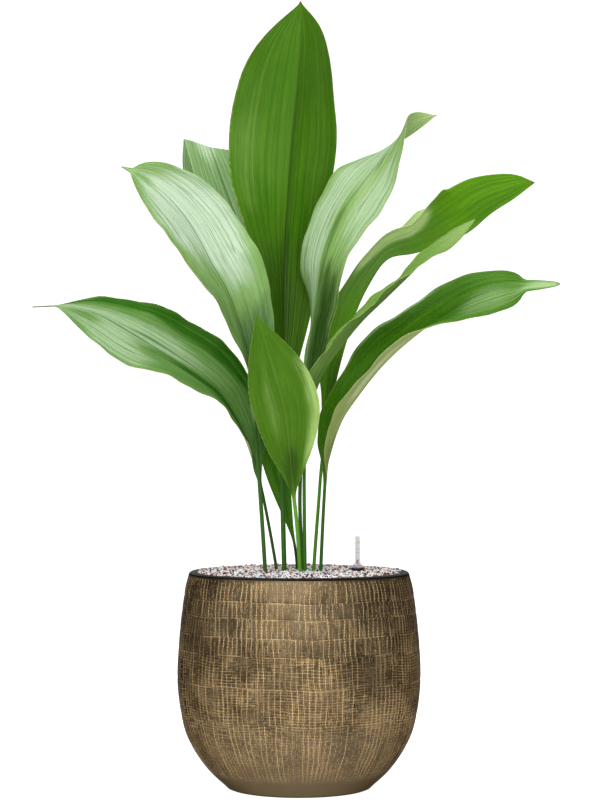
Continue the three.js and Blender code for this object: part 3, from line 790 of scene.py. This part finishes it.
# Spins a chain of (radius, height) points round an upright line.
def spinProfile(name, points, steps, x=0.0, y=0.0):
    deselect()
    bpy.ops.mesh.primitive_plane_add(size=0.001)
    piece = bpy.context.object
    piece.name = name
    bpy.ops.object.mode_set(mode="EDIT")
    bpy.ops.mesh.select_all(action="SELECT")
    bpy.ops.mesh.merge(type="CENTER")
    bpy.ops.transform.translate(value=(x + points[0][0], y, points[0][1]))
    for (radius, z), (nextRadius, nextZ) in zip(points, points[1:]):
        step = (nextRadius - radius, 0, nextZ - z)
        bpy.ops.mesh.extrude_region_move(TRANSFORM_OT_translate={"value": step})
    bpy.ops.mesh.select_all(action="SELECT")
    bpy.ops.mesh.spin(steps=steps, angle=2 * math.pi, center=(x, y, 0), axis=(0, 0, 1))
    bpy.ops.mesh.select_all(action="SELECT")
    bpy.ops.mesh.remove_doubles(threshold=1e-6)
    turnFacesOut()
    return piece


def potRelief(angle, z):
    wander = sum(rise * math.sin(count * angle + shift) for rise, count, shift in potForm["ringWander"])
    depth = 0.0
    for ring in potForm["rings"][1:-1]:
        depth += potForm["ringDepth"] * math.exp(-((z + wander - ring) / potForm["ringWidth"]) ** 2)
    thrown = 0.5 + 0.5 * math.sin(2 * angle + 31 * z) * math.sin(57 * z + 0.6 * math.sin(angle))
    fading = smooth(z, 0.01, 0.05) * (1 - smooth(z, 0.22, 0.243))
    return depth + potForm["thrownDepth"] * thrown * fading


def buildPot():
    profile, wallStart, wallEnd = potProfile()
    piece = spinProfile("pot_glazed", profile, potForm["steps"])
    mesh = piece.data
    lip = []
    limits = {round(z, 5): radius for radius, z in profile[wallStart:wallEnd]}
    for vertex in mesh.vertices:
        x, y, z = vertex.co
        radius = math.hypot(x, y)
        outer = limits.get(round(z, 5), 0)
        onWall = outer > 0 and radius > outer - 0.004
        if onWall:
            angle = math.atan2(x, -y)
            share = 1 - potRelief(angle, z) / radius
            vertex.co = Vector((x * share, y * share, z))
        isOut = radius > potForm["rimRadius"] - 0.0016 and z < potForm["bronzeTop"]
        lip.append(0.0 if onWall or isOut or z < 0.0099 else 1.0)
    mesh.attributes.new("glaze", "FLOAT", "POINT").data.foreach_set("value", lip)
    bpy.ops.object.shade_smooth_by_angle(angle=math.radians(40))
    mesh.materials.append(potBronze())
    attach(piece, "planter")
    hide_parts("pot")
    print("pot has", len(mesh.polygons), "faces")


class Wall:     # where a point of the pot lies among its strokes, rings and threads, as sockets
    def __init__(self, wire):
        self.place = wire.add("ShaderNodeTexCoord", output="Object")
        self.x, self.y, self.z = [
            wire.add("ShaderNodeSeparateXYZ", inputs={0: self.place}, output=axis) for axis in range(3)
        ]
        angle, z = self.x.math("ARCTAN2", self.x, -self.y), self.z
        ripples = [(angle * count + shift).wave() * rise for rise, count, shift in potForm["ringWander"]]
        self.ringHeights = [z + ripples[0] + ripples[1] - ring for ring in potForm["rings"][1:-1]]
        wobble = (angle * 3.0 + z * 40.0).wave() * 0.12 + (angle * 8.0 - z * 90.0 + 1.0).wave() * 0.07
        wobble = wobble + (angle * 21.0 + z * 170.0).wave() * 0.06
        band = sum((z.above(ring) for ring in potForm["rings"][1:]), z.above(potForm["rings"][0]))
        self.stroke = angle * (potForm["strokes"] / (2 * math.pi)) + wobble + band * 0.14
        self.toStroke = self.stroke - self.stroke.nearest()
        self.luck = wire.add("ShaderNodeTexWhiteNoise", {"noise_dimensions": "2D"},
                             {"Vector": vector(self.stroke.nearest(), band, 0.0)}, output="Value")
        self.fine = grainNoise(self.place, 900.0, 3.0, 0.6)
        self.patch = grainNoise(self.place, 26.0, 3.0, 0.6)
        self.broken = self.grain(420.0, 260.0, 4.0, 0.7)
        threads = z * potForm["threads"] + (angle * 7.0).wave() * 0.35 + self.patch * 2.0 + self.fine * 0.5
        self.thread = threads.nearest()
        self.toThread = threads - self.thread
        dashes = vector(self.x * 75.0 + self.thread * 7.7, self.y * 75.0, self.thread * 3.1)
        self.dash = grainNoise(dashes, 1.0, 2.0, 0.5)
        self.brushed = z.within(*potForm["strokeZone"])

    def grain(self, level, upright, detail=2.0, rough=0.5, shift=0.0):
        place = vector(self.x * level, self.y * level, self.z * upright + shift)
        return grainNoise(place, 1.0, detail, rough)


# Pale upright strokes with finer ones between them, threads that cross them, and fine hairs.
def brushMarks(wall):
    broken, luck, patch = wall.broken, wall.luck, wall.patch
    stroke = softLine(wall.toStroke, luck * 0.07 + 0.07)
    stroke = stroke * (broken + luck * 0.45 + patch * 0.3 - 0.24).step(0.42, 0.58)
    bead = (abs(wall.toThread) * 2.0).step(0.25, 0.85)
    stroke = stroke * (1 - bead * (broken + luck * 0.3).step(0.35, 0.65) * 0.65)
    middle = wall.z.within(*potForm["threadZone"])
    lower = 1 - wall.z.step(0.06, 0.12)
    twin = wall.stroke * 2.0 + 0.5
    between = softLine(twin - twin.nearest(), 0.16)
    between = between * (broken + patch * 0.5 - 0.25).step(0.42, 0.6) * (lower * 0.25 + 0.4)
    thread = softLine(wall.toThread, 0.14)
    thread = thread * (wall.dash + middle * 0.1).step(0.52, 0.62) * (middle * 0.36 + lower * 0.16 + 0.2)
    upright = wall.grain(700.0, 28.0).step(0.54, 0.72) * 0.4
    level = wall.grain(90.0, 1500.0).step(0.56, 0.72) * (middle * 0.4 + 0.12)
    worn = wall.grain(22.0, 34.0, shift=5.0).step(0.36, 0.6)
    marks = stroke.most(thread * 0.8).most(between).most(upright + level)
    return marks * wall.brushed * (worn * 0.42 + 0.55)


# Each ring is a pale edge with a shadow above it. This draws one of the two for all the rings.
def ringMarks(wall, offset, halfWidth, flaws, low):
    return sum(softLine(height + offset, halfWidth) * flaws.step(low, 0.6) for height in wall.ringHeights)


# The bronze between the marks, darker round the waist and beside each stroke.
def bronzeGround(wall):
    z = wall.z
    waist = z.within(*potForm["waistZone"])
    tone = wall.patch.step(0.15, 0.85) + (1 - z.step(0.03, 0.11)) * 0.5 - waist * 0.4
    ground = mixColor(tone.most(0.0).least(1.0), srgb(*potTones["dark"]), srgb(*potTones["light"]))
    ground = mixColor(wall.fine.step(0.4, 0.7) * 0.5, ground, srgb(*potTones["grime"]))
    shadow = ringMarks(wall, -0.0006, 0.0009, wall.broken + wall.dash - 0.5, 0.35)
    ground = mixColor(shadow * 0.7, ground, srgb(*potTones["ringShadow"]))
    beside = softLine(abs(wall.toStroke) - 0.16, 0.1, 0.2)
    beside = beside * wall.broken.step(0.35, 0.6) * wall.brushed * 0.6
    return mixColor(beside, ground, srgb(*potTones["besideStroke"]))


def potBronze():
    material, shader, wire = startMaterial("brushed_bronze_glaze", {"Specular Tint": potTones["tint"]})
    wall = Wall(wire)
    edges = ringMarks(wall, 0.0006, 0.0007, wall.broken + wall.patch - 0.5, 0.4)
    marks = brushMarks(wall).most(edges * 0.5)
    glaze = attribute(wire, "glaze")
    color = mixColor(marks, bronzeGround(wall), srgb(*potTones["stroke"]))
    color = mixColor((1 - wall.z.step(*potForm["footZone"])) * 0.8, color, srgb(*potTones["foot"]))
    color = mixColor(wall.z.step(*potForm["lipZone"]), color, srgb(*potTones["lip"]))
    color = mixColor(glaze, color, srgb(*potTones["glaze"]))
    relief = marks * 0.7 + wall.fine * 0.35 + wall.patch * 0.3
    plug(shader, {
        "Base Color": color, "Metallic": (1 - glaze) * (0.95 - marks * 0.45),
        "Roughness": 0.34 + wall.fine * 0.08 + marks * 0.12,
        "Normal": bump(relief * (1 - glaze), 0.0005, 0.7),
    })
    return material


# Mineral substrate

grainForm = {
    "spacing": 0.0031, "rowShare": 0.866, "radii": (0.0013, 0.0022), "reach": 0.1178, "looseCount": 900,
    "shapes": 6, "soilHeight": 0.2492, "relief": 0.0016, "lift": 0.0014, "seed": 7, "perPiece": 1600,
    "jitter": 0.3, "sink": 0.2,             # how far off its row a grain lies, and how deep in the bed
    "hollow": (0.0017, 0.008, 0.017),       # how far the grains lie lower before the gauge, from and to
}
grainTones = [      # share of the grains up to here, colour
    (0.0, (246, 236, 230)), (0.22, (220, 240, 250)), (0.38, (230, 206, 196)), (0.5, (252, 248, 244)),
    (0.61, (150, 116, 118)), (0.71, (86, 46, 52)), (0.85, (122, 88, 90)), (0.93, (58, 34, 40)),
    (0.985, (214, 150, 90)),
]


# The bumps of the bed's solid top, which the grains lie on.
def soilTop(x, y):
    x, y = x * 1000, y * 1000
    coarse = math.sin(0.47 * x + 1.3 * math.sin(0.21 * y)) * math.sin(0.43 * y + 1.1 * math.sin(0.26 * x))
    fine = math.sin(0.93 * x + 0.61 * y) * math.sin(0.88 * y - 0.57 * x)
    return grainForm["soilHeight"] + grainForm["relief"] * (0.6 * coarse + 0.4 * fine)


def grainShapes(draw):
    shapes = []
    for number in range(grainForm["shapes"]):
        deselect()
        bpy.ops.mesh.primitive_ico_sphere_add(subdivisions=1 if number else 2, radius=1)
        shape = bpy.context.object
        offset = Vector((number * 3.1, 0, 0))
        squash = Vector((draw.uniform(0.8, 1.15), draw.uniform(0.75, 1), draw.uniform(0.65, 0.9)))
        for vertex in shape.data.vertices:
            dent = noise.noise(vertex.co * 1.3 + offset)
            facet = noise.cell(vertex.co * 1.1 + offset)
            vertex.co = vertex.co * squash * (1 + 0.3 * dent + 0.12 * facet)
        shapes.append(shape)
    return shapes


def grainSpots(draw):
    spacing, reach, jitter = grainForm["spacing"], grainForm["reach"], grainForm["jitter"]
    stems = [(leaf["stations"][0][0], leaf["stations"][0][1], leaf["stem"]) for leaf in leaves.values()]
    gauge = (gaugeForm["x"], gaugeForm["y"], gaugeForm["collarRadius"] - 0.0008)
    spots = []
    rowGap = spacing * grainForm["rowShare"]
    rows = int(reach / rowGap) + 1
    for row in range(-rows, rows + 1):
        for column in range(-rows - 4, rows + 5):
            x = (column + 0.5 * (row % 2)) * spacing + draw.uniform(-jitter, jitter) * spacing
            y = row * rowGap + draw.uniform(-jitter, jitter) * spacing
            spots.append((x, y, 0.0))
    for _ in range(grainForm["looseCount"]):
        angle, out = draw.uniform(0, 2 * math.pi), reach * math.sqrt(draw.random())
        spots.append((out * math.cos(angle), out * math.sin(angle), grainForm["lift"]))
    depth, near, far = grainForm["hollow"]
    kept = []
    for x, y, lift in spots:
        radius = draw.uniform(*grainForm["radii"])
        clear = min(math.hypot(x - px, y - py) - pr for px, py, pr in (*stems, gauge))
        if clear > radius * 0.8 and math.hypot(x, y) < reach - radius * 0.6:
            low = 1 - smooth(math.hypot(x - gauge[0], y - gauge[1]), near, far) if y < gauge[1] else 0
            z = soilTop(x, y) - grainForm["sink"] * radius
            z += lift * draw.uniform(0.4, 1) * (1 - low) - depth * low
            kept.append((x, y, z, radius))
    return kept


def buildGrains():
    draw = random.Random(grainForm["seed"])
    shapes = grainShapes(draw)
    spots = grainSpots(draw)
    skin = grainSkin()
    for start in range(0, len(spots), grainForm["perPiece"]):
        deselect()
        for x, y, z, radius in spots[start:start + grainForm["perPiece"]]:
            grain = draw.choice(shapes).copy()
            grain.data = grain.data.copy()
            spin = Quaternion([draw.gauss(0, 1) for _ in range(4)]).normalized()
            grain.data.transform(Matrix.LocRotScale(Vector((x, y, z)), spin, Vector((radius,) * 3)))
            tone = draw.random()
            tones = grain.data.attributes.new("tone", "FLOAT", "POINT")
            tones.data.foreach_set("value", [tone] * len(grain.data.vertices))
            bpy.context.collection.objects.link(grain)
            grain.select_set(True)
        bpy.context.view_layer.objects.active = grain
        bpy.ops.object.join()
        piece = bpy.context.object
        piece.name = f"substrate_grains_{start // grainForm['perPiece'] + 1}"
        bpy.ops.object.shade_smooth_by_angle(angle=math.radians(38))
        piece.data.materials.append(skin)
        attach(piece, "planter")
        print(piece.name, "has", len(piece.data.polygons), "faces")
    for shape in shapes:
        bpy.data.objects.remove(shape)


def grainRamp(wire, tone):
    stops = [(place, srgb(*color)) for place, color in grainTones]
    ramp = wire.add("ShaderNodeValToRGB", {"stops": stops}, {0: tone})
    ramp.socket.node.color_ramp.interpolation = "CONSTANT"
    return ramp


def grainSkin():
    material, shader, wire = startMaterial("mineral_grains", {"Roughness": 0.85})
    place = wire.add("ShaderNodeTexCoord", output="Object")
    specks = grainNoise(place, 1500.0, 3.0, 0.7)
    color = grainRamp(wire, attribute(wire, "tone"))
    color = mixColor(specks.step(0.45, 0.75) * 0.22, color, srgb(110, 92, 86))
    plug(shader, {"Base Color": color, "Normal": bump(specks, 0.0004, 0.7)})
    return material


def dressSubstrate():
    material, shader, wire = startMaterial("mineral_bed", {"Roughness": 0.95})
    place = wire.add("ShaderNodeTexCoord", output="Object")
    cells = wire.add("ShaderNodeTexVoronoi", inputs={"Vector": place, "Scale": 260.0}, output="Color")
    tone = wire.add("ShaderNodeSeparateColor", inputs={0: cells})
    # The gaps between the cells are darkened: painted shade between the grains.
    gaps = wire.add("ShaderNodeTexVoronoi", inputs={"Vector": place, "Scale": 260.0}, output="Distance")
    color = mixColor(gaps.step(0.25, 0.7), grainRamp(wire, tone), srgb(46, 36, 34))
    plug(shader, {"Base Color": color, "Normal": bump(1 - gaps, 0.0012, 0.8)})
    dressNode("substrate", material)


def dressNode(name, material):
    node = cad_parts[name]
    node.data.materials.clear()
    node.data.materials.append(material)


# Water-level gauge

gaugeForm = {
    "x": 0.068, "y": 0.010, "collarRadius": 0.008, "collarHeight": 0.0022,
    "tubeRadius": 0.006, "boreRadius": 0.0048,
    "headRadius": 0.0032, "headWall": 0.0009, "coneHeight": 0.007, "pointerRadius": 0.0015,
    "tabSize": (0.0042, 0.004, 0.0052), "tabOffset": (0.0055, -0.0026),
    "tickHeights": (0.2828, 0.2715), "tickWidth": 0.0034, "tickHeight": 0.0009, "tickDepth": 0.0003,
    "steps": 48,
}
gaugeTones = {      # and how rough each plastic is
    "pointer": ((214, 36, 12), 0.35), "float": ((226, 224, 216), 0.7), "collar": ((44, 22, 34), 0.4),
    "ticks": ((222, 188, 92), 0.45),
}


def buildGauge():
    x, y = gaugeForm["x"], gaugeForm["y"]
    _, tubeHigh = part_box("gauge_tube")
    headLow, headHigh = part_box("gauge_head")
    pointerLow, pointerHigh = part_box("gauge_pointer")
    radius, wall = gaugeForm["headRadius"], gaugeForm["headWall"]
    cone = headLow.z + gaugeForm["coneHeight"]
    foot = gaugeForm["collarRadius"] - 0.0004
    head = spinProfile("gauge_head_clear", [
        (0, headHigh.z), (radius - 0.0008, headHigh.z), (radius - 0.0002, headHigh.z - 0.0003),
        (radius, headHigh.z - 0.001), (radius, cone + 0.001), (radius + 0.0002, cone),
        (radius + 0.0012, cone - 0.0022), (foot - 0.0012, headLow.z + 0.0022), (foot, headLow.z + 0.0011),
        (foot, headLow.z), (foot - 0.0011, headLow.z), (foot - 0.0014, headLow.z + 0.001),
        (radius - wall + 0.0005, cone - 0.0018), (radius - wall, cone), (radius - wall, headHigh.z - wall),
        (0, headHigh.z - wall),
    ], gaugeForm["steps"], x, y)
    finishGaugePiece(head, "gauge_head", "planter", clearPlastic())
    tip = gaugeForm["pointerRadius"]
    pointer = spinProfile("gauge_pointer_red", [
        (0, pointerLow.z), (tip - 0.0002, pointerLow.z), (tip, pointerLow.z + 0.0002),
        (tip, pointerHigh.z - 0.0012), (tip - 0.0003, pointerHigh.z - 0.0005),
        (tip - 0.0008, pointerHigh.z - 0.0001), (0, pointerHigh.z),
    ], gaugeForm["steps"], x, y)
    red = plainPlastic("red_tip", *gaugeTones["pointer"])
    finishGaugePiece(pointer, "gauge_pointer", "float", red)
    buildCollar(x, y, tubeHigh.z)
    buildTicks(x, y)
    dressNode("gauge_float", plainPlastic("float_foam", *gaugeTones["float"]))
    print("gauge ready")


def finishGaugePiece(piece, node, body, material):
    bpy.ops.object.shade_smooth_by_angle(angle=math.radians(45))
    piece.data.materials.append(material)
    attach(piece, body)
    if node:
        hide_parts(node)


# The dark tube with its round collar and finger tab.
def buildCollar(x, y, top):
    low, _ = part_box("gauge_tube")
    collar, height = gaugeForm["collarRadius"], gaugeForm["collarHeight"]
    tube, bore = gaugeForm["tubeRadius"], gaugeForm["boreRadius"]
    piece = spinProfile("gauge_collar", [
        (bore, low.z), (tube, low.z), (tube, top - height - 0.002), (collar - 0.0003, top - height),
        (collar, top - height + 0.0003), (collar, top - 0.0004), (collar - 0.0004, top),
        (bore, top), (bore, low.z),
    ], gaugeForm["steps"], x, y)
    deselect()
    size, (right, back) = gaugeForm["tabSize"], gaugeForm["tabOffset"]
    bpy.ops.mesh.primitive_cube_add(size=1, location=(x + right, y + back, top - size[2] / 2 - 0.0001))
    tab = bpy.context.object
    tab.dimensions = size
    bpy.ops.object.transform_apply(location=True, rotation=True, scale=True)
    edge = tab.modifiers.new("edge", "BEVEL")
    edge.width = 0.0006
    edge.segments = 3
    bpy.ops.object.modifier_apply(modifier="edge")
    tab.name = "gauge_tab"
    dark = plainPlastic("dark_collar", *gaugeTones["collar"])
    finishGaugePiece(tab, None, "planter", dark)
    bpy.context.view_layer.objects.active = piece
    deselect()
    piece.select_set(True)
    finishGaugePiece(piece, "gauge_tube", "planter", dark)


def buildTicks(x, y):
    radius = gaugeForm["headRadius"]
    paint = plainPlastic("yellow_tick", *gaugeTones["ticks"])
    for number, z in enumerate(gaugeForm["tickHeights"]):
        deselect()
        bpy.ops.mesh.primitive_cube_add(size=1)
        tick = bpy.context.object
        tick.name = f"gauge_tick_{number + 1}"
        bpy.ops.object.mode_set(mode="EDIT")
        bpy.ops.mesh.subdivide(number_cuts=7)
        bpy.ops.object.mode_set(mode="OBJECT")
        for vertex in tick.data.vertices:
            along, out, up = vertex.co
            angle = along * gaugeForm["tickWidth"] / radius
            reach = radius + (out + 0.5) * gaugeForm["tickDepth"] - 0.00005     # a little way into the head
            height = z + up * gaugeForm["tickHeight"]
            vertex.co = (x + reach * math.sin(angle), y - reach * math.cos(angle), height)
        bpy.ops.object.mode_set(mode="EDIT")
        turnFacesOut()
        finishGaugePiece(tick, None, "planter", paint)


def plainPlastic(name, color, roughness):
    material, shader, wire = startMaterial(name)
    place = wire.add("ShaderNodeTexCoord", output="Object")
    speck = grainNoise(place, 700.0, 3.0, 0.6)
    tone = mixColor(speck * 0.25, srgb(*color), srgb(*[part * 0.7 for part in color]))
    rough = speck * 0.12 + roughness
    plug(shader, {"Base Color": tone, "Roughness": rough, "Normal": bump(speck, 0.0001, 0.3)})
    return material


def clearPlastic():
    material, shader, wire = startMaterial("clear_head", {"IOR": 1.45})
    place = wire.add("ShaderNodeTexCoord", output="Object")
    haze = grainNoise(place, 240.0, 3.0, 0.6)
    tone = mixColor(haze, srgb(184, 180, 188), srgb(204, 200, 206))
    plug(shader, {"Base Color": tone, "Roughness": haze * 0.1 + 0.28, "Alpha": haze * 0.08 + 0.26})
    return material


buildStudio()
buildPot()
buildLeaves()
dressSubstrate()
buildGrains()
buildGauge()
